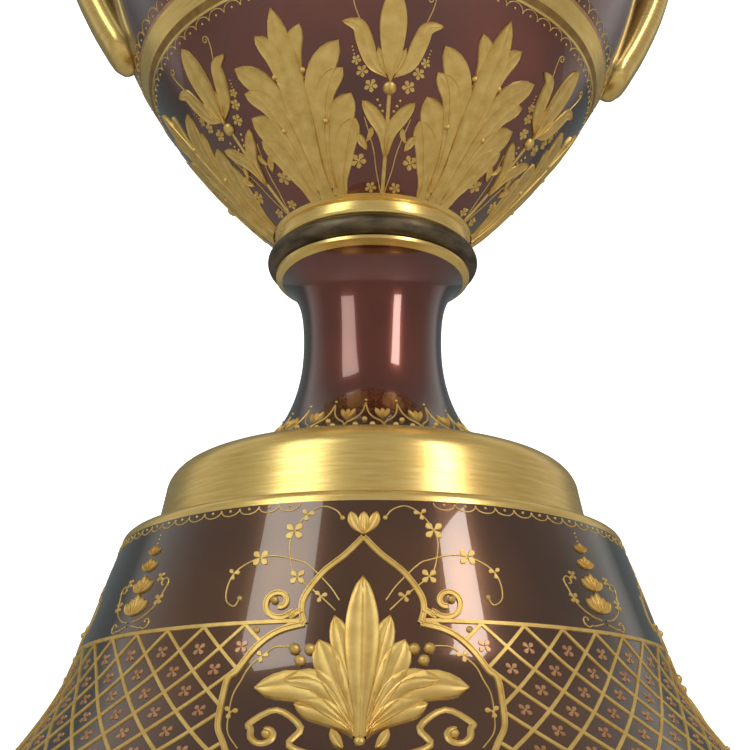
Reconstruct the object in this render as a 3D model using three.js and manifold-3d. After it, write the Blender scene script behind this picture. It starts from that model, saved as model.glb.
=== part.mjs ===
// A mantel urn in gilded lustre porcelain: a hollow bell-shaped stand, a waisted socle with a gilt drum
// foot, a brass collar, and a two-handled urn with an open mouth. The four pieces stack on one axis.
// Millimetres, +Z up, origin at the centre of the stand's underside. The handles lie along +X and -X.
import * as THREE from 'three';
import Module from 'manifold-3d';
import { mergeVertices } from 'three/addons/utils/BufferGeometryUtils.js';

const wasm = await Module();
wasm.setup();

// ---- driving dimensions ----------------------------------------------------------------------------
const GAP = 0.3;               // clearance between two stacked pieces
const WALL = 4.5;              // porcelain wall
const ROUND_SIDES = 44;        // facets round each piece

// Stand: a foot band, a concave flare, a straight cone and a flat top with a rounded edge.
const FOOT_RADIUS = 127;
const FOOT_BAND = 8;           // height of the upright foot band
const FLARE_START = { r: 125, z: 9.5 };
const FLARE_PULL_LOW = { r: 111, z: 24 };
const FLARE_PULL_HIGH = { r: 95.8, z: 44 };
const CONE_LOW = { r: 92.5, z: 54 };
const CONE_HIGH = { r: 79.6, z: 94 };
const STAND_HEIGHT = 97;
const STAND_EDGE = 2.6;        // rounding of the stand's top edge
const STAND_VENT = 20;         // radius of the firing vent in the stand's top

// Socle: a drum foot with a slight draft, then a waisted stem that opens again under the collar.
const DRUM_RADIUS_LOW = 69.6;
const DRUM_RADIUS_HIGH = 66.9;
const DRUM_HEIGHT = 15;        // up to where the top edge starts to round
const DRUM_TOP = 122;
const STEM_FOOT = { r: 47, z: 122.6 };
const STEM_WAIST = { r: 23.6, z: 166 };
const STEM_LIP = { r: 33.8, z: 192.2 };
const SOCLE_TOP = 193.7;
const BOLT_RADIUS = 9;         // hole through the socle's top

// Collar: a rounded brass ring between the socle and the urn.
const COLLAR_TOP = 201;
const COLLAR_RADIUS = 36.8;
const COLLAR_EDGE = 33.6;      // radius at its top and bottom edges
const COLLAR_BORE = 20;

// Urn: foot ring, egg-shaped body, shoulder, neck and flared lip.
const FOOT_RING_RADIUS = 34.4;
const FOOT_RING_HEIGHT = 5.5;
const BODY_START = { r: 34.8, z: 208 };
const BODY_PULL_LOW = { r: 100.8, z: 267.8 };
const BODY_PULL_HIGH = { r: 105.1, z: 317.6 };
const BODY_WIDEST = { r: 105.1, z: 345 };
const NECK = { r: 46, z: 397 };
const LIP = { r: 59, z: 424 };
const URN_TOP = 428;

// Handles: one rounded strap each side, from the belly up and over to the neck.
const STRAP_WIDTH = 20;        // across the strap
const STRAP_DEPTH = 12;        // through the strap
const STRAP_ROUTE = [          // distance from the axis, height
  [93, 281], [100.5, 294], [109, 313], [117.5, 343], [119, 370], [108, 393], [84, 404], [58, 401], [44, 398],
];

const COLOURS = { lustre: '#4a2019', deep: '#3a241a', gold: '#d8b25c', brass: '#8a7448' };

// ---- helpers ---------------------------------------------------------------------------------------
const at = (r, z) => new THREE.Vector2(r, z);

function curve(start, pullA, pullB, end, steps) {
  const spots = [start, pullA, pullB, end].map((p) => at(p.r, p.z));
  return new THREE.CubicBezierCurve(...spots).getPoints(steps);
}

// A quarter round from one point to another, bulging towards the corner between them.
function quarter(from, to, corner, steps) {
  const roundness = 0.552;
  const pull = (p) => ({ r: p.r + (corner.r - p.r) * roundness, z: p.z + (corner.z - p.z) * roundness });
  return curve(from, pull(from), pull(to), to, steps);
}

// The same outline moved inwards by a wall thickness, in the opposite order.
function innerFace(outline, wall) {
  return outline.map((point, i) => {
    const before = outline[Math.max(i - 1, 0)];
    const after = outline[Math.min(i + 1, outline.length - 1)];
    const along = after.clone().sub(before).normalize();
    return at(point.x - along.y * wall, point.y + along.x * wall);
  }).reverse();
}

function toManifold(geometry) {
  const bare = geometry.index ? geometry.toNonIndexed() : geometry.clone();
  bare.deleteAttribute('normal');
  bare.deleteAttribute('uv');
  const merged = mergeVertices(bare, 1e-4);
  return new wasm.Manifold(new wasm.Mesh({
    numProp: 3,
    vertProperties: new Float32Array(merged.attributes.position.array),
    triVerts: new Uint32Array(merged.index.array),
  }));
}

function toGeometry(manifold) {
  const mesh = manifold.getMesh();
  const geometry = new THREE.BufferGeometry();
  geometry.setAttribute('position', new THREE.BufferAttribute(new Float32Array(mesh.vertProperties), 3));
  geometry.setIndex(new THREE.BufferAttribute(new Uint32Array(mesh.triVerts), 1));
  geometry.computeVertexNormals();
  return geometry;
}

// Turns a closed outline round the Z axis.
function turned(outline, sides = ROUND_SIDES) {
  const closed = outline[0].x === 0 ? outline : [...outline, outline[0].clone()];
  const lathe = new THREE.LatheGeometry(closed, sides);
  lathe.rotateX(Math.PI / 2);
  return toManifold(lathe);
}

function piece(name, manifold, colour, roughness, metalness) {
  const material = new THREE.MeshStandardMaterial({ color: colour, roughness, metalness });
  const mesh = new THREE.Mesh(toGeometry(manifold), material);
  mesh.name = name;
  return mesh;
}

// ---- stand -----------------------------------------------------------------------------------------
function stand() {
  const cone = [at(CONE_LOW.r, CONE_LOW.z), at(CONE_HIGH.r, CONE_HIGH.z)];
  const flare = curve(FLARE_START, FLARE_PULL_LOW, FLARE_PULL_HIGH, CONE_LOW, 5);
  const wallLine = [...flare.slice(0, -1), ...cone];
  const shoulder = { r: CONE_HIGH.r - STAND_EDGE, z: STAND_HEIGHT };
  const edge = quarter(CONE_HIGH, shoulder, { r: CONE_HIGH.r, z: STAND_HEIGHT }, 2).slice(1);
  const inside = innerFace(wallLine, WALL).slice(1);
  const ceiling = STAND_HEIGHT - WALL;
  return turned([
    at(FOOT_RADIUS - 1, 0),
    at(FOOT_RADIUS, 1.2),
    at(FOOT_RADIUS, FOOT_BAND),
    ...wallLine,
    ...edge,
    at(STAND_VENT, STAND_HEIGHT),
    at(STAND_VENT, ceiling),
    at(CONE_HIGH.r - WALL - 2, ceiling),
    ...inside,
    at(FOOT_RADIUS - WALL - 1, 0),
  ]);
}

// ---- socle: stem and drum in one -------------------------------------------------------------------
function socle() {
  const bottom = STAND_HEIGHT + GAP;
  const drumEdge = { r: DRUM_RADIUS_HIGH, z: bottom + DRUM_HEIGHT };
  const drumTop = { r: DRUM_RADIUS_HIGH - 9, z: DRUM_TOP - 1.2 };
  const rounding = quarter(drumEdge, drumTop, { r: DRUM_RADIUS_HIGH - 0.6, z: DRUM_TOP - 1.6 }, 3);
  const lower = curve(STEM_FOOT, { r: 40, z: 124.6 }, { r: STEM_WAIST.r, z: 137 }, STEM_WAIST, 5);
  const upper = curve(STEM_WAIST, { r: STEM_WAIST.r, z: 184 }, { r: 27.2, z: 188 }, STEM_LIP, 4);
  const hollow = innerFace([...lower.slice(1), ...upper.slice(1, -2)], WALL);
  const ceiling = DRUM_TOP - WALL - 1.6;
  return turned([
    at(DRUM_RADIUS_LOW, bottom),
    ...rounding,
    ...lower,
    ...upper.slice(1),
    at(STEM_LIP.r, SOCLE_TOP),
    at(BOLT_RADIUS, SOCLE_TOP),
    at(BOLT_RADIUS, SOCLE_TOP - WALL),
    ...hollow,
    at(STEM_FOOT.r - WALL, ceiling),
    at(DRUM_RADIUS_HIGH - WALL - 5, ceiling - 1),
    at(DRUM_RADIUS_HIGH - WALL, ceiling - 6),
    at(DRUM_RADIUS_LOW - WALL, bottom),
  ]);
}

// ---- collar ----------------------------------------------------------------------------------------
function collar() {
  const bottom = SOCLE_TOP + GAP;
  const middle = (bottom + COLLAR_TOP) / 2;
  const shallow = COLLAR_RADIUS - 0.6;
  return turned([
    at(COLLAR_EDGE, bottom),
    at(shallow, bottom + 1.3),
    at(COLLAR_RADIUS, middle),
    at(shallow, COLLAR_TOP - 1.3),
    at(COLLAR_EDGE, COLLAR_TOP),
    at(COLLAR_BORE, COLLAR_TOP),
    at(COLLAR_BORE, bottom),
  ], 36);
}

// ---- urn with its two handles ----------------------------------------------------------------------
function bodyOutline() {
  const body = curve(BODY_START, BODY_PULL_LOW, BODY_PULL_HIGH, BODY_WIDEST, 8);
  const shoulder = curve(BODY_WIDEST, { r: BODY_WIDEST.r, z: 373 }, { r: 64, z: 381 }, NECK, 5);
  const throat = curve(NECK, { r: 39, z: 403 }, { r: 45, z: 417 }, LIP, 3);
  return [...body, ...shoulder.slice(1), ...throat.slice(1)];
}

function urnInterior() {
  const line = bodyOutline();
  const above = URN_TOP + 1;
  const inside = innerFace(line, WALL).reverse();
  inside[inside.length - 1].set(LIP.r - WALL, above);
  return turned([at(0, inside[0].y), ...inside, at(0, above)]);
}

function urnOutside() {
  const bottom = COLLAR_TOP + GAP;
  const ringTop = bottom + FOOT_RING_HEIGHT;
  return turned([
    at(0, bottom),
    at(FOOT_RING_RADIUS - 1, bottom),
    at(FOOT_RING_RADIUS, bottom + 1.5),
    at(FOOT_RING_RADIUS, ringTop - 1.5),
    at(FOOT_RING_RADIUS - 1.2, ringTop),
    ...bodyOutline(),
    at(LIP.r + 1.5, LIP.z + 2),
    at(LIP.r, URN_TOP),
    at(0, URN_TOP),
  ]);
}

function strap() {
  const section = new THREE.Shape();
  const sides = 10;
  for (let i = 0; i < sides; i += 1) {
    const angle = (i / sides) * Math.PI * 2;
    const across = (STRAP_WIDTH / 2) * Math.cos(angle);
    const through = (STRAP_DEPTH / 2) * Math.sin(angle);
    if (i === 0) section.moveTo(across, through);
    else section.lineTo(across, through);
  }
  section.closePath();
  const spots = STRAP_ROUTE.map(([x, z]) => new THREE.Vector3(x, 0, z));
  const route = new THREE.CatmullRomCurve3(spots, false, 'centripetal');
  const sweep = new THREE.ExtrudeGeometry(section, { extrudePath: route, steps: 14, bevelEnabled: false });
  const tip = new THREE.SphereGeometry(1, 10, 6);
  tip.scale(STRAP_DEPTH / 2, STRAP_WIDTH / 2, STRAP_DEPTH * 0.8);
  tip.rotateY(Math.PI / 6);
  tip.translate(STRAP_ROUTE[0][0], 0, STRAP_ROUTE[0][1]);
  return toManifold(sweep).add(toManifold(tip));
}

function urn() {
  const right = strap();
  const left = right.rotate([0, 0, 180]);
  return urnOutside().add(right).add(left).subtract(urnInterior());
}

// ---- the object ------------------------------------------------------------------------------------
const group = new THREE.Group();
group.add(piece('stand', stand(), COLOURS.deep, 0.18, 0.1));
group.add(piece('socle', socle(), COLOURS.lustre, 0.18, 0.1));
group.add(piece('collar', collar(), COLOURS.brass, 0.4, 1));
group.add(piece('urn', urn(), COLOURS.lustre, 0.15, 0.1));

export default group;
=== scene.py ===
"""Mantel urn in gilded lustre porcelain: the finish, the raised gilding and the painted frieze.

Lengths in this script are millimetres until a mesh is made. A point of the ornament is (x, y, h): x to
the right and y upwards along the turned surface, and h out of it. Azimuth 0 faces -Y and grows to +X.
"""
import math

import bpy
import mathutils
import numpy as np
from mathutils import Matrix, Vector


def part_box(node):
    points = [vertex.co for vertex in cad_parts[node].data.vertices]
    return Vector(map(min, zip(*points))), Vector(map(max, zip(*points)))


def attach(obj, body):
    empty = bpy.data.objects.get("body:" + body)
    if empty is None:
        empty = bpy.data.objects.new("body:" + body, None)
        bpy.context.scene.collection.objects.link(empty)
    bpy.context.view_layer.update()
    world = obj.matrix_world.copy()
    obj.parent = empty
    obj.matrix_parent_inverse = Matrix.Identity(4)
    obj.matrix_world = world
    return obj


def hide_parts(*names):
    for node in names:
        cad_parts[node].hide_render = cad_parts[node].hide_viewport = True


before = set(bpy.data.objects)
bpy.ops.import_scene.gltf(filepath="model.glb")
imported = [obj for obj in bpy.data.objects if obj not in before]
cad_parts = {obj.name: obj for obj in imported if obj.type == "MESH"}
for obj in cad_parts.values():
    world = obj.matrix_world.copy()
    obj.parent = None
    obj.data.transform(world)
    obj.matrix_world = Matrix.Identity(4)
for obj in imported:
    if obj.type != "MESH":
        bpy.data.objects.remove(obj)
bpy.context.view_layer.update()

MM = 0.001
TURNS = 180                     # facets round a turned piece


# ---- outlines of the turned pieces, as in the CAD --------------------------------------------------
def top_of(node):
    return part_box(node)[1][2] / MM


def bottom_of(node):
    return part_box(node)[0][2] / MM


def bezier(start, pull_a, pull_b, end, steps=16):
    t = np.linspace(0.0, 1.0, steps + 1)[:, None]
    a, b, c, d = (np.array(p, float) for p in (start, pull_a, pull_b, end))
    return (1 - t) ** 3 * a + 3 * (1 - t) ** 2 * t * b + 3 * (1 - t) * t ** 2 * c + t ** 3 * d


def quarter(start, end, corner, steps=6):
    start, end, corner = (np.array(p, float) for p in (start, end, corner))
    roundness = 0.552
    return bezier(start, start + (corner - start) * roundness, end + (corner - end) * roundness, end, steps)


def straight(start, end, steps=6):
    t = np.linspace(0.0, 1.0, steps + 1)[:, None]
    return np.array(start, float) * (1 - t) + np.array(end, float) * t


def joined(*stretches):
    """Stretches of (radius, height) end to end, without doubled points."""
    out = []
    for stretch in stretches:
        for point in np.atleast_2d(stretch):
            if not out or np.hypot(*(out[-1] - point)) > 1e-4:
                out.append(np.array(point, float))
    return np.array(out)


def inset(line, wall):
    along = np.gradient(line, axis=0)
    along /= np.hypot(along[:, 0], along[:, 1])[:, None]
    return line + wall * np.stack([-along[:, 1], along[:, 0]], -1)


WALL = 4.5
VENT_RADIUS, BOLT_RADIUS, COLLAR_BORE, COLLAR_EDGE = 20.0, 9.0, 20.0, 33.6
STAND_TOP = top_of("stand")
FOOT_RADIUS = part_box("stand")[1][0] / MM
SOCLE_BOTTOM = bottom_of("socle")
SOCLE_TOP = top_of("socle")
COLLAR_LOW, COLLAR_HIGH = bottom_of("collar"), top_of("collar")
COLLAR_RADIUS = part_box("collar")[1][0] / MM
URN_BOTTOM, URN_TOP = bottom_of("urn"), top_of("urn")

CONE_LOW, CONE_HIGH = (92.5, 54.0), (79.6, 94.0)
FLARE = bezier((125.0, 9.5), (111.0, 24.0), (95.8, 44.0), CONE_LOW, 24)
STAND_SIDE = joined(FLARE, straight(CONE_LOW, CONE_HIGH, 24))
DRUM_LOW, DRUM_HIGH = (69.6, SOCLE_BOTTOM), (66.9, SOCLE_BOTTOM + 15.0)
STEM_FOOT, STEM_WAIST, STEM_LIP = (47.0, 122.6), (23.6, 166.0), (33.8, 192.2)
STEM = joined(bezier(STEM_FOOT, (40.0, 124.6), (23.6, 137.0), STEM_WAIST, 24),
              bezier(STEM_WAIST, (23.6, 184.0), (27.2, 188.0), STEM_LIP, 16))
FOOT_RING_RADIUS = 34.4
FOOT_RING_TOP = URN_BOTTOM + 5.5
BODY_START, BODY_WIDEST, NECK, LIP = (34.8, 208.0), (105.1, 345.0), (46.0, 397.0), (59.0, 424.0)
BODY = joined(bezier(BODY_START, (100.8, 267.8), (105.1, 317.6), BODY_WIDEST, 56),
              bezier(BODY_WIDEST, (105.1, 373.0), (64.0, 381.0), NECK, 28),
              bezier(NECK, (39.0, 403.0), (45.0, 417.0), LIP, 14))
STRAP_WIDTH, STRAP_DEPTH = 20.0, 12.0
STRAP_ROUTE = [(93, 281), (100.5, 294), (109, 313), (117.5, 343), (119, 370), (108, 393), (84, 404),
               (58, 401), (44, 398)]


# ---- materials -------------------------------------------------------------------------------------
def shader(name):
    material = bpy.data.materials.new(name)
    material.use_nodes = True
    tree = material.node_tree
    return material, tree, tree.nodes["Principled BSDF"]


def node(tree, kind, **values):
    made = tree.nodes.new(kind)
    for key, value in values.items():
        if key in made.inputs:
            made.inputs[key].default_value = value
        else:
            setattr(made, key, value)
    return made


def ramp(tree, factor, stops):
    made = tree.nodes.new("ShaderNodeValToRGB")
    while len(made.color_ramp.elements) < len(stops):
        made.color_ramp.elements.new(0.5)
    for element, (place, colour) in zip(made.color_ramp.elements, stops):
        element.position = place
        element.color = (*colour, 1.0)
    tree.links.new(factor, made.inputs["Fac"])
    return made.outputs["Color"]


def noise(tree, scale, detail=4.0, stretch=(1.0, 1.0, 1.0)):
    place = tree.nodes.new("ShaderNodeTexCoord")
    shift = tree.nodes.new("ShaderNodeMapping")
    shift.inputs["Scale"].default_value = stretch
    texture = node(tree, "ShaderNodeTexNoise", Scale=scale, Detail=detail)
    tree.links.new(place.outputs["Object"], shift.inputs["Vector"])
    tree.links.new(shift.outputs["Vector"], texture.inputs["Vector"])
    return texture.outputs["Fac"]


def bump(tree, surface, height, strength, distance):
    made = node(tree, "ShaderNodeBump", Strength=strength, Distance=distance)
    tree.links.new(height, made.inputs["Height"])
    tree.links.new(made.outputs["Normal"], surface.inputs["Normal"])


def blend_colours(tree, factor, first, second):
    made = tree.nodes.new("ShaderNodeMix")
    made.data_type = "RGBA"
    for socket, value in (("Factor", factor), ("A", first), ("B", second)):
        target = next(i for i in made.inputs if i.name == socket and i.enabled)
        if isinstance(value, bpy.types.NodeSocket):
            tree.links.new(value, target)
        else:
            target.default_value = value if socket == "Factor" else (*value, 1.0)
    return next(o for o in made.outputs if o.enabled)


def lustre(name, deep, warm, sheen):
    """Iridescent lustre glaze: a deep body colour under a glassy coat, with a metal sheen at a slant."""
    material, tree, surface = shader(name)
    cloud = ramp(tree, noise(tree, 22.0, 3.0), [(0.35, deep), (0.7, warm)])
    facing = node(tree, "ShaderNodeLayerWeight", Blend=0.42)
    slant = ramp(tree, facing.outputs["Facing"], [(0.3, (0, 0, 0)), (0.85, (1, 1, 1))])
    colour = blend_colours(tree, slant, cloud, sheen)
    tree.links.new(colour, surface.inputs["Base Color"])
    surface.inputs["Metallic"].default_value = 0.55
    surface.inputs["Roughness"].default_value = 0.2
    surface.inputs["Coat Weight"].default_value = 1.0
    surface.inputs["Coat Roughness"].default_value = 0.02
    surface.inputs["Coat IOR"].default_value = 1.6
    bump(tree, surface, noise(tree, 900.0, 2.0), 0.04, 0.0002)
    return material


def gold(name, dark, light, roughness, grain, stretch=(1.0, 1.0, 1.0), strength=0.25):
    material, tree, surface = shader(name)
    patches = noise(tree, grain, 5.0, stretch)
    tree.links.new(ramp(tree, patches, [(0.3, dark), (0.7, light)]), surface.inputs["Base Color"])
    surface.inputs["Metallic"].default_value = 0.75
    surface.inputs["Roughness"].default_value = roughness
    bump(tree, surface, patches, strength, 0.0002)
    return material


LUSTRE_RED = lustre("lustre_red", (0.095, 0.016, 0.009), (0.20, 0.038, 0.018), (0.020, 0.060, 0.050))
LUSTRE_DARK = lustre("lustre_dark", (0.080, 0.030, 0.014), (0.150, 0.060, 0.022), (0.018, 0.050, 0.042))
GOLD_MATT = gold("gold_matt", (0.70, 0.46, 0.13), (0.86, 0.62, 0.22), 0.45, 260.0)
GOLD_DEEP = gold("gold_shaded", (0.26, 0.15, 0.04), (0.40, 0.24, 0.08), 0.5, 260.0)
GOLD_PINK = gold("gold_pink", (0.50, 0.25, 0.12), (0.68, 0.40, 0.21), 0.38, 300.0)
GOLD_BRIGHT = gold("gold_burnished", (0.80, 0.54, 0.15), (0.93, 0.70, 0.27), 0.27, 90.0, (1, 1, 14), 0.12)
OLD_BRASS = gold("collar_brass", (0.050, 0.038, 0.026), (0.19, 0.145, 0.090), 0.42, 120.0, (1, 1, 4), 0.4)


def plain_white():
    material, tree, surface = shader("bare_porcelain")
    tint = ramp(tree, noise(tree, 60.0), [(0.3, (0.72, 0.69, 0.64)), (0.7, (0.82, 0.80, 0.76))])
    tree.links.new(tint, surface.inputs["Base Color"])
    surface.inputs["Roughness"].default_value = 0.35
    return material


def painted_frieze():
    """Generic painted drapery in plum, rose and umber: broad folds that fall and cross."""
    material, tree, surface = shader("painted_frieze")
    folds = node(tree, "ShaderNodeTexWave", Scale=6.0, Distortion=9.0, Detail=3.0, wave_type="BANDS")
    folds.bands_direction = "X"
    folds.inputs["Detail Scale"].default_value = 1.6
    place = tree.nodes.new("ShaderNodeTexCoord")
    turn = tree.nodes.new("ShaderNodeMapping")
    turn.inputs["Scale"].default_value = (1.0, 1.0, 0.55)
    turn.inputs["Rotation"].default_value = (0.3, 0.5, 0.2)
    tree.links.new(place.outputs["Object"], turn.inputs["Vector"])
    tree.links.new(turn.outputs["Vector"], folds.inputs["Vector"])
    cloth = ramp(tree, folds.outputs["Fac"],
                 [(0.0, (0.060, 0.030, 0.034)), (0.45, (0.13, 0.066, 0.068)), (0.8, (0.26, 0.135, 0.115)),
                  (1.0, (0.36, 0.20, 0.155))])
    ground = ramp(tree, noise(tree, 9.0, 2.0), [(0.42, (0.075, 0.040, 0.050)), (0.6, (0.17, 0.10, 0.095))])
    patches = ramp(tree, noise(tree, 14.0, 1.0), [(0.42, (0, 0, 0)), (0.58, (1, 1, 1))])
    tree.links.new(blend_colours(tree, patches, ground, cloth), surface.inputs["Base Color"])
    surface.inputs["Roughness"].default_value = 0.28
    surface.inputs["Coat Weight"].default_value = 1.0
    surface.inputs["Coat Roughness"].default_value = 0.04
    return material


BARE = plain_white()
FRIEZE = painted_frieze()


# ---- meshes ----------------------------------------------------------------------------------------
def mesh_piece(name, verts, faces, materials, material_of=None, smooth_angle=40.0):
    mesh = bpy.data.meshes.new(name)
    mesh.from_pydata(np.asarray(verts).tolist(), [], faces)
    for material in materials:
        mesh.materials.append(material)
    if material_of is not None:
        mesh.polygons.foreach_set("material_index", material_of)
    mesh.polygons.foreach_set("use_smooth", [True] * len(mesh.polygons))
    mesh.set_sharp_from_angle(angle=math.radians(smooth_angle))
    mesh.update()
    made = bpy.data.objects.new(name, mesh)
    bpy.context.scene.collection.objects.link(made)
    return made


def turned(name, outline, zones, materials):
    """A closed outline turned round the axis. zones gives, for each outline stretch, its material."""
    outline = np.asarray(outline, float)
    count = len(outline)
    angles = np.arange(TURNS) * 2 * math.pi / TURNS
    around = np.stack([np.cos(angles), np.sin(angles)], -1)
    verts, start = [], []
    for radius, height in outline:
        start.append(len(verts))
        if radius < 1e-6:
            verts.append((0.0, 0.0, height * MM))
        else:
            verts += [(radius * c * MM, radius * s * MM, height * MM) for c, s in around]
    faces, index = [], []
    for i in range(count):
        j = (i + 1) % count
        low_axis, high_axis = outline[i][0] < 1e-6, outline[j][0] < 1e-6
        if low_axis and high_axis:
            continue
        for k in range(TURNS):
            m = (k + 1) % TURNS
            a, b, c, d = start[i] + k, start[i] + m, start[j] + m, start[j] + k
            if low_axis:
                faces.append((start[i], c, d))
            elif high_axis:
                faces.append((a, b, start[j]))
            else:
                faces.append((a, b, c, d))
            index.append(zones[i])
    return mesh_piece(name, verts, faces, materials, index, 35.0)


class Ware:
    """The outside of a turned piece, as a place for ornament. y is 0 at the stated height."""

    def __init__(self, line, zero_height):
        self.r, self.z = line[:, 0], line[:, 1]
        self.s = np.concatenate([[0], np.cumsum(np.hypot(np.diff(self.r), np.diff(self.z)))])
        self.s -= np.interp(zero_height, self.z, self.s)
        slope = np.gradient(line, self.s, axis=0)
        slope /= np.hypot(slope[:, 0], slope[:, 1])[:, None]
        self.out_r, self.out_z = slope[:, 1], -slope[:, 0]

    def radius(self, y):
        return np.interp(y, self.s, self.r)

    def point(self, azimuth, x, y, h):
        r, z = np.interp(y, self.s, self.r), np.interp(y, self.s, self.z)
        angle = math.radians(azimuth) + x / r
        away = r + h * np.interp(y, self.s, self.out_r)
        up = z + h * np.interp(y, self.s, self.out_z)
        return np.stack([away * np.sin(angle), -away * np.cos(angle), up], -1) * MM


SUNK = -0.08                    # how far the edge of the gilding dips into the glaze
# Sections of a raised line, as (place across it, share of its height).
WIRE = [(-1, 0), (-0.6, 0.8), (0, 1), (0.6, 0.8), (1, 0)]
FLAT = [(-1, 0), (-0.8, 1), (0.8, 1), (1, 0)]
RIDGED = [(-1, 0), (-0.84, 1), (-0.55, 1), (-0.38, 0.45), (0.38, 0.45), (0.55, 1), (0.84, 1), (1, 0)]
LEAFY = [(-1, 0), (-0.93, 1.9), (-0.8, 1.1), (-0.45, 1.0), (-0.12, 1.1), (0, 1.5), (0.12, 1.1),
         (0.45, 1.0), (0.8, 1.1), (0.93, 1.9), (1, 0)]


def smooth(points, steps=6):
    """A Catmull-Rom curve through the points."""
    p = np.array(points, float)
    p = np.vstack([2 * p[0] - p[1], p, 2 * p[-1] - p[-2]])
    t = np.arange(steps)[:, None] / steps
    out = []
    for a, b, c, d in zip(p[:-3], p[1:-2], p[2:-1], p[3:]):
        out.append(0.5 * (2 * b + (c - a) * t + (2 * a - 5 * b + 4 * c - d) * t ** 2
                          + (3 * b - a - 3 * c + d) * t ** 3))
    return np.vstack(out + [p[-2:-1]])


class Spot:
    """Where a motif goes: its meridian, its height on the ware, and mirrored (flip -1) or not."""

    def __init__(self, azimuth, y=0.0, flip=1):
        self.azimuth, self.y, self.flip = azimuth, y, flip

    def moved(self, x, y):
        return x * self.flip, y + self.y


class Relief:
    """Raised gilding on one ware, gathered into one mesh."""

    def __init__(self, ware):
        self.ware, self.verts, self.faces, self.count = ware, [], [], 0

    def grid(self, spot, x, y, h, ring=False):
        rows, cols = x.shape
        x, y = spot.moved(x, y)
        self.verts.append(self.ware.point(spot.azimuth, x, y, h).reshape(-1, 3))
        base = self.count
        for i in range(rows if ring else rows - 1):
            j = (i + 1) % rows
            for k in range(cols - 1):
                here, ahead = base + i * cols + k, base + j * cols + k
                quad = (here, ahead, ahead + 1, here + 1)
                self.faces.append(quad if spot.flip > 0 else quad[::-1])
        self.count += rows * cols

    def strip(self, spot, path, width, height, section=WIRE, lift=0.0):
        """A band of the given section along a path. width is its half-width, one number or one a point."""
        path = np.asarray(path, float)
        along = np.gradient(path, axis=0)
        along /= np.maximum(np.hypot(along[:, 0], along[:, 1]), 1e-9)[:, None]
        left = np.stack([-along[:, 1], along[:, 0]], -1)
        width = np.broadcast_to(width, len(path))
        height = np.broadcast_to(height, len(path))
        across = np.array([a for a, _ in section])
        rise = np.array([b for _, b in section])
        x = path[:, :1] + left[:, :1] * width[:, None] * across
        y = path[:, 1:] + left[:, 1:] * width[:, None] * across
        h = np.where(rise > 0, height[:, None] * rise + lift, SUNK)
        self.grid(spot, x, y, h)

    def blade(self, spot, path, width, height=0.28, fullness=0.62, lift=0.0, steps=5, foot=0.0,
              section=LEAFY):
        """A leaf along a path: widest at the fullness, pointed at the end, foot wide at the start."""
        line = smooth(path, steps)
        t = np.linspace(0, 1, len(line))
        swell = np.where(t < fullness, np.sin(0.5 * math.pi * t / fullness) ** 0.9,
                         np.cos(0.5 * math.pi * (t - fullness) / (1 - fullness)) ** 0.62)
        shape = np.maximum(swell * width, foot * (1 - t / fullness).clip(0, 1))
        shape[-1] = 0.02
        self.strip(spot, line, shape.clip(0.02), height, section, lift)

    def pearl(self, spot, x, y, radius, sides=8, height=0.75):
        turn = np.arange(sides)[:, None] * 2 * math.pi / sides
        ring = np.array([1.0, 0.93, 0.62, 0.02])
        rise = np.array([SUNK / radius, 0.45, 0.8, 1.0]) * height * radius
        self.grid(spot, x + radius * ring * np.cos(turn), y + radius * ring * np.sin(turn),
                  np.broadcast_to(rise, (sides, 4)), ring=True)

    def floret(self, spot, x, y, size, petals=4, turn=45.0, centre=True):
        for k in range(petals):
            angle = math.radians(turn + k * 360.0 / petals)
            reach = np.array([math.cos(angle), math.sin(angle)]) * size
            path = [(x + reach[0] * f, y + reach[1] * f) for f in (0.12, 0.6, 1.0)]
            self.blade(spot, path, size * 0.36, 0.22, 0.6, steps=3, section=FLAT)
        if centre:
            self.pearl(spot, x, y, size * 0.2, 6)

    def vine(self, spot, path, width=0.22, height=0.25, steps=5):
        self.strip(spot, smooth(path, steps), width, height)

    def piece(self, name, material):
        made = mesh_piece(name, np.vstack(self.verts), self.faces, [material], smooth_angle=50.0)
        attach(made, "root")


# ---- turned pieces ---------------------------------------------------------------------------------
# Places in a turned piece's list of materials.
GLAZE, GILT, WHITE, PICTURE, HATCHING, PINK = range(6)


def zoned(line, bands, plain):
    """Adds a point at each band's edges, and says which material each stretch has."""
    line = np.asarray(line, float)
    edges = sorted({e for low, high, _ in bands for e in (low, high)})
    for edge in edges:
        for i in range(len(line) - 1):
            low, high = line[i][1], line[i + 1][1]
            if low < edge < high and min(edge - low, high - edge) > 1e-3:
                t = (edge - low) / (high - low)
                line = np.insert(line, i + 1, line[i] * (1 - t) + line[i + 1] * t, axis=0)
                break
    middles = (line[:-1, 1] + line[1:, 1]) / 2
    zones = [next((m for low, high, m in bands if low <= z <= high), plain) for z in middles]
    return line, zones


FOOT_BAND_TOP, EDGE_GILDING = 9.5, 93.6


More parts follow.
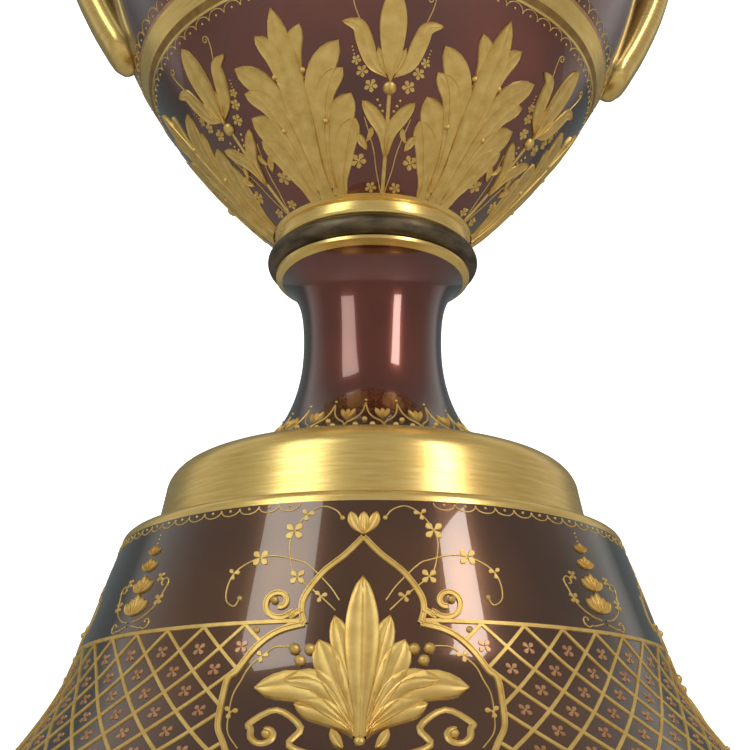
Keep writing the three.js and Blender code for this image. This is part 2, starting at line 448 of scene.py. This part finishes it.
def make_stand():
    edge = quarter(CONE_HIGH, (77.0, STAND_TOP), (79.6, STAND_TOP))
    outside = joined(quarter((FOOT_RADIUS - 1, 0), (FOOT_RADIUS, 1.2), (FOOT_RADIUS, 0), 4),
                     straight((FOOT_RADIUS, 1.2), (FOOT_RADIUS, 8.0), 3), STAND_SIDE, edge)
    outside, zones = zoned(outside, [(0, FOOT_BAND_TOP, GILT), (EDGE_GILDING, STAND_TOP, GILT)], GLAZE)
    inside = inset(STAND_SIDE, WALL)[::-1][1:]
    ceiling = STAND_TOP - WALL
    rest = joined((VENT_RADIUS, STAND_TOP), (VENT_RADIUS, ceiling), (73.1, ceiling), inside,
                  (FOOT_RADIUS - WALL - 1, 0))
    outline = np.vstack([outside, rest])
    made = turned("stand_body", outline, zones + [GILT] + [WHITE] * len(rest),
                  [LUSTRE_DARK, GOLD_BRIGHT, BARE])
    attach(made, "root")
    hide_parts("stand")


DRUM_TOP, RIM_LINE = 122.3, 190.7


def make_socle():
    shoulder = quarter(DRUM_HIGH, (57.9, 120.8), (66.3, 120.4), 10)
    outside = joined(DRUM_LOW, shoulder, STEM, (33.8, SOCLE_TOP - 0.4), (33.4, SOCLE_TOP))
    outside, zones = zoned(outside, [(SOCLE_BOTTOM, DRUM_TOP, GILT), (RIM_LINE, SOCLE_TOP, GILT)], GLAZE)
    hollow = inset(STEM, WALL)[::-1][3:-1]
    ceiling = 115.9
    rest = joined((BOLT_RADIUS, SOCLE_TOP), (BOLT_RADIUS, SOCLE_TOP - WALL), hollow, (42.5, ceiling),
                  (57.4, ceiling - 1), (62.4, ceiling - 6), (DRUM_LOW[0] - WALL, SOCLE_BOTTOM))
    outline = np.vstack([outside, rest])
    made = turned("socle_body", outline, zones + [WHITE] * (len(rest) + 1), [LUSTRE_RED, GOLD_BRIGHT, BARE])
    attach(made, "root")
    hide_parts("socle")


def make_collar():
    middle = (COLLAR_LOW + COLLAR_HIGH) / 2
    widest = (COLLAR_RADIUS, middle)
    lower = quarter((COLLAR_EDGE, COLLAR_LOW), widest, (COLLAR_RADIUS, COLLAR_LOW + 0.4), 8)
    upper = quarter(widest, (COLLAR_EDGE, COLLAR_HIGH), (COLLAR_RADIUS, COLLAR_HIGH - 0.4), 8)
    outline = joined(lower, upper, (COLLAR_BORE, COLLAR_HIGH), (COLLAR_BORE, COLLAR_LOW))
    made = turned("collar_ring", outline, [0] * len(outline), [OLD_BRASS])
    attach(made, "root")
    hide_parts("collar")


THIN_LINE = (260.3, 261.0)
GOLD_BAND = (263.2, 268.7)
PINK_LINE_TOP = 269.7
FRIEZE_BOTTOM = 273.0
UPPER_BAND = (351.0, 356.0)
NECK_BAND = (395.0, 399.5)
LIP_BAND = 421.0


def make_urn():
    ring = joined((FOOT_RING_RADIUS - 1, URN_BOTTOM),
                  quarter((FOOT_RING_RADIUS - 1, URN_BOTTOM), (FOOT_RING_RADIUS, URN_BOTTOM + 1.5),
                          (FOOT_RING_RADIUS, URN_BOTTOM), 4),
                  quarter((FOOT_RING_RADIUS, FOOT_RING_TOP - 1.5), (FOOT_RING_RADIUS - 1.2, FOOT_RING_TOP),
                          (FOOT_RING_RADIUS, FOOT_RING_TOP), 4))
    lip = quarter((60.2, 425.2), (58.0, URN_TOP), (60.4, URN_TOP), 5)
    outside = joined(ring, BODY, lip)
    bands = [(URN_BOTTOM, BODY_START[1], GILT), (*THIN_LINE, GILT), (THIN_LINE[1], GOLD_BAND[0], HATCHING),
             (*GOLD_BAND, GILT), (GOLD_BAND[1], PINK_LINE_TOP, PINK), (FRIEZE_BOTTOM, UPPER_BAND[0], PICTURE),
             (*UPPER_BAND, GILT), (*NECK_BAND, GILT), (LIP_BAND, URN_TOP, GILT)]
    outside, zones = zoned(outside, bands, GLAZE)
    inside = inset(BODY, WALL)[::-1][3:]
    rest = joined((54.8, URN_TOP), inside, (0.0, inside[-1][1]))
    outline = np.vstack([[(0.0, URN_BOTTOM)], outside, rest])
    made = turned("urn_body", outline, [GILT] + zones + [WHITE] * (len(rest) + 1),
                  [LUSTRE_RED, GOLD_BRIGHT, BARE, FRIEZE, GOLD_DEEP, GOLD_PINK])
    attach(made, "root")
    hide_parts("urn")


def make_handle(name, side):
    """A rounded strap with a rounded lower tip, from the belly up and over to the neck."""
    route = smooth(STRAP_ROUTE, 8)
    along = np.gradient(route, axis=0)
    along /= np.hypot(along[:, 0], along[:, 1])[:, None]
    t = np.linspace(0, 1, len(route))
    # The end below is drawn out into a rounded tip.
    tip = route[0] - along[0] * np.array([[9.2], [8.3], [6.4], [3.6]])
    route = np.vstack([tip, route])
    along = np.vstack([np.repeat(along[:1], 4, axis=0), along])
    grow = np.concatenate([[0.02, 0.45, 0.76, 0.94], np.ones(len(t))])
    sides = 28
    turn = np.arange(sides) * 2 * math.pi / sides
    verts = []
    for (x, z), (dx, dz), g in zip(route, along, grow):
        across = 0.5 * STRAP_WIDTH * g * np.sign(np.cos(turn)) * np.abs(np.cos(turn)) ** 0.9
        through = 0.5 * STRAP_DEPTH * g * np.sin(turn)
        verts += [((x - dz * q) * side * MM, p * side * MM, (z + dx * q) * MM)
                  for p, q in zip(across, through)]
    faces = []
    rows = len(route)
    for i in range(rows - 1):
        for k in range(sides):
            m = (k + 1) % sides
            faces.append((i * sides + k, i * sides + m, (i + 1) * sides + m, (i + 1) * sides + k))
    faces.append(tuple(range(sides))[::-1])
    faces.append(tuple((rows - 1) * sides + k for k in range(sides)))
    made = mesh_piece(name, verts, faces, [GOLD_BRIGHT], smooth_angle=60.0)
    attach(made, "root")


make_stand()
make_socle()
make_collar()
make_urn()
make_handle("handle_right", 1)
make_handle("handle_left", -1)

# ---- wares and small motifs ------------------------------------------------------------------------
BOWL = Ware(BODY, BODY_START[1])
FOOT_OF_STEM = Ware(STEM, STEM_FOOT[1])
CONE = Ware(STAND_SIDE, CONE_HIGH[1])
MIRRORED = (1, -1)


def dots(relief, spot, start, end, count, radius=0.32):
    for t in np.linspace(0, 1, count):
        relief.pearl(spot, start[0] + (end[0] - start[0]) * t, start[1] + (end[1] - start[1]) * t, radius, 6)


def curl(centre, radius, start, sweep, steps=9):
    """Points of a spiral that winds in round a centre."""
    t = np.linspace(0, 1, steps)
    angle = np.radians(start + sweep * t)
    reach = radius * (1 - 0.75 * t)
    return [(centre[0] + q * math.cos(a), centre[1] + q * math.sin(a)) for q, a in zip(reach, angle)]


def scallops(relief, height, rise, pitch, keep=lambda azimuth: True):
    """A border of small arches round the ware, with a dot in each. A negative rise hangs them down."""
    count = round(360 / pitch)
    half = math.radians(180 / count) * relief.ware.radius(height)
    for k in range(count):
        azimuth = k * 360 / count
        if keep(azimuth):
            spot = Spot(azimuth, height)
            turn = np.linspace(0, math.pi, 9)
            arch = np.stack([half * np.cos(turn), rise * np.sin(turn)], -1)
            relief.strip(spot, arch, 0.2, 0.22)
            relief.pearl(spot, 0, rise * 0.2, 0.45, 6)


# ---- raised gilding on the bowl --------------------------------------------------------------------
LEAF_LOBES = [  # path from the foot to the tip, half-width, width at the foot
    ([(5.0, 0), (8.8, 10), (12.0, 18), (17.5, 25)], 3.3, 1.8),
    ([(4.0, 0), (7.0, 12), (11.4, 24), (18.3, 33)], 4.0, 2.2),
    ([(2.6, 3), (5.4, 21), (10.4, 34.5), (18.0, 41)], 3.0, 1.8),
    ([(2.0, 3), (4.2, 24), (9.2, 39), (19.0, 49.5)], 3.9, 2.0),
    ([(0.8, 8), (1.8, 34), (3.4, 48), (8.0, 56)], 2.9, 1.6),
]


def acanthus(relief, azimuth):
    for flip in MIRRORED:
        spot = Spot(azimuth, flip=flip)
        for level, (path, width, foot) in enumerate(LEAF_LOBES):
            relief.blade(spot, path, width * 1.06, 0.26, 0.74, 0.03 * level, foot=foot)
        # A pearl in each notch between lobes, and dots below it.
        for sinus, toward in (((5.0, 42.0), (3.4, 30.0)), ((7.5, 25.0), (5.4, 14.0))):
            relief.pearl(spot, *sinus, 1.0, height=1.3)
            dots(relief, spot, (sinus[0] - 0.3, sinus[1] - 2.4), toward, 6, 0.42)
    relief.blade(Spot(azimuth), [(0, 0), (0, 22), (0, 44), (0, 62.7)], 4.6, 0.3, 0.66, 0.22, foot=2.5)


def spray(relief, azimuth):
    for flip in MIRRORED:
        spot = Spot(azimuth, flip=flip)
        relief.floret(spot, 4.0, 2.0, 1.9, 5)
        relief.floret(spot, 8.5, 11.0, 2.6, 5)
        relief.blade(spot, [(6.0, 14.5), (7.5, 17.0), (9.5, 20.0)], 1.3, steps=3)
        relief.blade(spot, [(6.5, 17.0), (5.2, 19.5), (5.0, 22.0)], 1.0, steps=3)
        relief.vine(spot, [(0.6, 0), (2.6, 8), (4.0, 15), (7.5, 25.2)])
        relief.blade(spot, [(0.4, 12), (1.2, 20), (4.4, 25.5), (8.5, 30.5)], 2.4, 0.3)
        dots(relief, spot, (1.8, 27), (3.6, 30.5), 3, 0.5)
        for x, y, size in ((6, 35, 2.2), (9, 39.5, 2.0), (11, 43, 1.6)):
            relief.floret(spot, x, y, size, 5)
        dots(relief, spot, (11.8, 44.8), (12.5, 47), 3)
        relief.blade(spot, [(1, 37.5), (5.8, 42), (8.8, 49), (11, 53.5), (16, 55)], 2.7, 0.3, 0.45)
        relief.blade(spot, [(0.6, 38), (2.6, 42), (4.5, 47)], 1.3, 0.3, steps=3)
        relief.vine(spot, [(9, 50), (10.5, 55), (12.2, 59), (13, 62)] + curl((11.6, 62.2), 1.4, 0, 400))
    middle = Spot(azimuth)
    relief.strip(middle, [(0, 0), (0, 8), (0, 16), (0, 24), (0, 34)], 0.7, 0.35)
    relief.pearl(middle, 0, 34.3, 2.2, 12)
    relief.blade(middle, [(0, 36), (0, 46), (0, 56), (0, 65)], 4.4, 0.32, 0.6, 0.1)


def gild_bowl():
    leaves, sprays, lines = Relief(BOWL), Relief(BOWL), Relief(BOWL)
    for k in range(6):
        acanthus(leaves, 30 + 60 * k)
        spray(sprays, 60 * k)
    scallops(lines, 66.5, 2.5, 5.0)
    scallops(lines, 80.6, 3.4, 5.0)
    leaves.piece("bowl_leaves", GOLD_MATT)
    sprays.piece("bowl_sprays", GOLD_MATT)
    lines.piece("bowl_borders", GOLD_MATT)


# ---- raised gilding on the stem --------------------------------------------------------------------
LAPPETS, LAPPET_MERIDIAN = 20, -9
FRINGE_STROKES = 4              # strokes below one lappet


def gild_stem():
    relief = Relief(FOOT_OF_STEM)
    pitch = 360 // LAPPETS
    for k in range(LAPPETS):
        azimuth = LAPPET_MERIDIAN + pitch * k
        spot = Spot(azimuth)
        for flip in MIRRORED:
            half = Spot(azimuth, flip=flip)
            relief.vine(half, [(6.6, 7.0), (5.4, 11.0), (2.6, 14.0), (1.0, 17.0), (0, 21.5)], 0.3)
            relief.pearl(half, 2.6, 9.0, 0.9, height=1.0)
        relief.pearl(spot, 0, 12.6, 0.9, height=1.0)
        relief.pearl(spot, 0, 23.0, 0.5, 6)
        between = Spot(pitch * k)
        for lean in (-1.3, 0, 1.3):
            relief.blade(between, [(0, 13.0), (lean, 16.0), (lean * 1.6, 18.6)], 0.75, steps=3)
        for step in range(FRINGE_STROKES):
            stroke = Spot(azimuth + pitch / FRINGE_STROKES * step)
            relief.strip(stroke, [(0, 1.0), (0, 2.5), (0, 4.2)], 0.32, 0.25)
            relief.pearl(stroke, 0, 5.6, 0.55, 6)
    relief.piece("stem_lappets", GOLD_MATT)


# ---- raised gilding on the stand -------------------------------------------------------------------
MERIDIAN = -6.75
FRAME_HALF = [(0, 11.5), (4.6, 16.6), (10.2, 21.6), (14.3, 27.6), (15.1, 31.6), (14.2, 35.4), (19.8, 36.8),
              (23.8, 39), (27.5, 42.6), (30.9, 47.6), (32.9, 49.5), (33.6, 56), (33.6, 63), (31.9, 67.3),
              (28, 75), (20, 82), (8, 86), (0, 84)]
FRAME_CORNER = 5
LATTICE_TOP, LATTICE_BOTTOM, LATTICE_ROW, LATTICE_COUNT = 35.0, 87.7, 5.85, 48


def down(points):
    """Points measured down from the top of the cone, as points up the ware."""
    return [(x, -y) for x, y in points]


def frame_reach(depth):
    """Half-width of a cartouche at a depth below the cone's top."""
    lower = FRAME_HALF[FRAME_CORNER:]
    return np.interp(depth, [y for _, y in lower[:-1]], [x for x, _ in lower[:-1]], left=14.2)


def off_meridian(azimuth):
    return (azimuth - MERIDIAN + 45) % 90 - 45


def cartouche(lines, leaves, azimuth):
    for flip in MIRRORED:
        spot = Spot(azimuth, flip=flip)
        for part in (FRAME_HALF[:FRAME_CORNER + 1], FRAME_HALF[FRAME_CORNER:]):
            lines.strip(spot, smooth(down(part), 6), 0.85, 0.5, RIDGED)
        volute = down([(15.1, 31.6), (18, 33.5)]) + curl((21.0, -29.4), 4.6, 215, 420, 13)
        lines.strip(spot, smooth(volute, 3), 0.8, 0.5, RIDGED)
        lines.pearl(spot, 22.2, -28.8, 1.1, height=1.2)
        lines.pearl(spot, 26.5, -36.6, 0.9)
        lines.vine(spot, down([(5.7, 29.3), (8.5, 25), (13.9, 19.2), (16.8, 17.8), (22.6, 16.2), (26.9, 16.5),
                               (31.1, 18.1), (34.2, 20.5), (35.8, 24.2), (35.7, 28), (33.3, 29.7),
                               (31.9, 27.6)]))
        lines.vine(spot, down([(6.6, 32), (10.5, 28), (13, 25.8), (16.6, 22.5), (18.2, 19.6), (19.1, 13.1),
                               (18.1, 9.2), (14.7, 4.4), (10.8, 2.2), (7.3, 3.4), (5.5, 5.8)]))
        lines.vine(spot, down([(17.5, 41.2), (21.4, 41.4), (24.5, 43.6), (27.6, 46.5), (29.3, 50.2),
                               (30.9, 54), (31.3, 59.1), (30.9, 64.9), (27.8, 69.7)]))
        for x, y, size in ((26.9, 16.5, 2.6), (34.2, 20.5, 1.8), (10.5, 28, 1.8), (14.7, 4.4, 1.9),
                           (16.6, 22.5, 2.3), (18.1, 9.2, 2.8), (24.5, 43.6, 1.8), (31, 59.1, 2.0)):
            lines.floret(spot, x, -y, size, 4 if size > 2.2 else 3)
        lines.pearl(spot, 31.9, -27.6, 0.7)
        lines.pearl(spot, 5.5, -5.8, 0.7)
        lines.strip(spot, smooth(down([(6, 73), (15.8, 68.9), (13.5, 63.9), (19.5, 58.8), (25.8, 62.4)])
                                 + curl((21.8, -65.4), 3.8, 20, -300), 4), 0.9, 0.5)
        lines.pearl(spot, 21.5, -65.7, 1.1, height=1.2)
        for x, y in ((12.5, 42.2), (16.3, 42.0), (14.8, 45.2)):
            leaves.pearl(spot, x, -y, 1.5, height=1.1)
        for tip, bend, width in (((15.5, 57.6), (8, 60), 3.4), ((25.6, 52.7), (13, 53), 4.4),
                                 ((18.5, 50.5), (9, 52), 3.2), ((10.4, 39.8), (7, 49), 3.6),
                                 ((6.8, 33.4), (4.2, 44), 2.8)):
            leaves.blade(spot, down([(0.6, 66), bend, tip]), width, 0.34, 0.62, foot=1.4)
        leaves.blade(spot, down([(3.5, 70), (5, 68), (6.5, 64.5)]), 1.3, steps=3)
        dots(leaves, spot, (3, -45), (3, -51), 4, 0.5)
    middle = Spot(azimuth)
    leaves.blade(middle, down([(0, 67), (0, 50), (0, 36), (0, 22.9)]), 4.3, 0.42, 0.62, 0.2, foot=1.6)
    leaves.pearl(middle, 0, -67.7, 1.4)
    for lean in (-3.4, 0, 3.4):
        leaves.blade(middle, down([(0, 10.9), (lean * 0.7, 7.5), (lean, 4.1)]), 1.5, steps=4)


def stand_spray(relief, azimuth):
    spot = Spot(azimuth)
    for y, size in ((29, 5.0), (22.5, 4.2), (16, 3.2), (11, 2.4)):
        for lean in (-1.0, -0.5, 0.5, 1.0, 0):
            tip = (lean * size, -(y - size * (1.25 - 0.5 * abs(lean))))
            relief.blade(spot, [(0, -y), (tip[0] * 0.6, (tip[1] - y) / 2), tip], size * 0.27, steps=3)
    dots(relief, spot, (0, -7.4), (0, -4.9), 3)
    for flip in MIRRORED:
        side = Spot(azimuth, flip=flip)
        relief.vine(side, [(1, -31), (5, -30), (9, -27), (11, -22)] + curl((9.6, -20.6), 1.9, -30, 330))
        relief.floret(side, 9.6, -25.4, 1.8, 4)
        relief.floret(side, 7.4, -18.6, 1.5, 4)
        relief.vine(side, down([(1, 32), (5, 33)]) + curl((7.4, -31.6), 2.0, 220, 320))


def lattice(lines, cells):
    step = 360 / LATTICE_COUNT
    rows = int(round((LATTICE_BOTTOM - LATTICE_TOP) / LATTICE_ROW))
    depth = np.linspace(LATTICE_TOP, LATTICE_BOTTOM, rows * 6 + 1)
    for k in range(LATTICE_COUNT):
        for lean in MIRRORED:
            start = MERIDIAN + (k + 0.5) * step
            turn = lean * (depth - LATTICE_TOP) / LATTICE_ROW * step / 2
            radius = lines.ware.radius(-depth)
            aside = np.abs(off_meridian(start + turn)) * math.pi / 180 * radius
            outside = aside > frame_reach(depth) - 0.3
            run = []
            for i in range(len(depth) + 1):
                if i < len(depth) and outside[i]:
                    run.append((radius[i] * math.radians(turn[i]), -depth[i]))
                elif len(run) > 1:
                    lines.strip(Spot(start), run, 0.5, 0.28, FLAT)
                    run = []
                else:
                    run = []
        for row in range(rows):
            azimuth = MERIDIAN + (k + (1.0 if row % 2 == 0 else 0.5)) * step
            middle = LATTICE_TOP + row * LATTICE_ROW
            reach = abs(off_meridian(azimuth)) * math.pi / 180 * lines.ware.radius(-middle)
            if row and reach > frame_reach(middle) + 3.5:
                cells.floret(Spot(azimuth), 0, -middle, 1.9, 4)
    for edge in (LATTICE_TOP - 0.4, LATTICE_BOTTOM + 0.4):
        turn = np.linspace(-45, 45, 121)
        for quarter_turn in range(4):
            radius = lines.ware.radius(-edge)
            reach = frame_reach(edge) if edge < LATTICE_BOTTOM else -1
            for flip in MIRRORED:
                path = [(radius * math.radians(a), -edge) for a in turn if radius * math.radians(a) > reach]
                lines.strip(Spot(MERIDIAN + 90 * quarter_turn, flip=flip), path, 0.6, 0.35, FLAT)


def gild_stand():
    frames, palmettes, mesh_lines, cells, borders = (Relief(CONE) for _ in range(5))
    for k in range(4):
        cartouche(frames, palmettes, MERIDIAN + 90 * k)
        stand_spray(borders, MERIDIAN + 45 + 90 * k)
    lattice(mesh_lines, cells)
    scallops(borders, -1.0, -2.0, 4.2, lambda azimuth: abs(off_meridian(azimuth)) > 13)
    frames.piece("stand_cartouches", GOLD_MATT)
    palmettes.piece("stand_palmettes", GOLD_MATT)
    mesh_lines.piece("stand_lattice", GOLD_MATT)
    cells.piece("stand_lattice_florets", GOLD_PINK)
    borders.piece("stand_borders", GOLD_MATT)


gild_bowl()
gild_stem()
gild_stand()

# ---- room, lights and camera -----------------------------------------------------------------------
def floor_and_light():
    bpy.ops.mesh.primitive_plane_add(size=6.0, location=(0, 0, 0))
    floor = bpy.context.object
    floor.name = "floor"
    material, tree, surface = shader("pale_floor")
    surface.inputs["Base Color"].default_value = (0.82, 0.81, 0.79, 1)
    surface.inputs["Roughness"].default_value = 0.6
    floor.data.materials.append(material)
    world = bpy.data.worlds.new("studio")
    bpy.context.scene.world = world
    world.use_nodes = True
    tree = world.node_tree
    background = tree.nodes["Background"]
    place = tree.nodes.new("ShaderNodeTexCoord")
    split = tree.nodes.new("ShaderNodeSeparateXYZ")
    tree.links.new(place.outputs["Generated"], split.inputs["Vector"])
    front, sides, behind = (0.50, 0.48, 0.44), (1, 0.98, 0.94), (0.22, 0.24, 0.24)
    light = ramp(tree, split.outputs["Y"], [(0.0, front), (0.45, sides), (0.62, behind)])
    tree.links.new(light, background.inputs["Color"])
    background.inputs["Strength"].default_value = 0.62


def white_backdrop():
    """A bright sheet behind the urn, which the glaze doesn't mirror."""
    bpy.ops.mesh.primitive_plane_add(size=8.0, location=(0, 2.0, 1.0), rotation=(math.radians(90), 0, 0))
    sheet = bpy.context.object
    sheet.name = "backdrop"
    material, tree, surface = shader("white_sheet")
    surface.inputs["Base Color"].default_value = (1, 1, 1, 1)
    surface.inputs["Emission Color"].default_value = (1, 1, 1, 1)
    surface.inputs["Emission Strength"].default_value = 1.2
    sheet.data.materials.append(material)
    sheet.visible_glossy = False
    sheet.visible_diffuse = False


def lamp(name, place, aim, size, power, colour=(1, 1, 1)):
    data = bpy.data.lights.new(name, "AREA")
    data.shape = "RECTANGLE"
    data.size, data.size_y = size
    data.energy = power
    data.color = colour
    made = bpy.data.objects.new(name, data)
    bpy.context.scene.collection.objects.link(made)
    made.location = place
    toward = np.array(aim) - np.array(place)
    made.rotation_euler = mathutils.Vector(toward).to_track_quat("-Z", "Y").to_euler()



DISTANCE, EYE_HEIGHT = 0.385, 0.018             # metres from the urn's axis, and above the shelf
TURN, PITCH, ASIDE = 5.2, 19.85, 0.12414         # degrees round the axis, upwards, and right of it
LENS, SENSOR = 57.6, 36.0                        # millimetres


def camera():
    data = bpy.data.cameras.new("camera")
    data.sensor_width = SENSOR
    data.lens = LENS
    data.clip_start = 0.01
    made = bpy.data.objects.new("camera", data)
    bpy.context.scene.collection.objects.link(made)
    turn = math.radians(TURN)
    made.location = (-DISTANCE * math.sin(turn), -DISTANCE * math.cos(turn), EYE_HEIGHT)
    made.rotation_euler = (math.radians(90 + PITCH), 0, -turn - math.radians(ASIDE))
    bpy.context.scene.camera = made


floor_and_light()
white_backdrop()
lamp("window_left", (-0.9, -0.9, 0.9), (0, 0, 0.2), (0.55, 1.1), 5.5, (0.93, 1.0, 0.95))
lamp("window_right", (0.75, -1.1, 0.8), (0, 0, 0.2), (0.30, 0.9), 6.5, (1.0, 0.93, 0.86))
camera()
bpy.context.scene.view_settings.view_transform = "Standard"
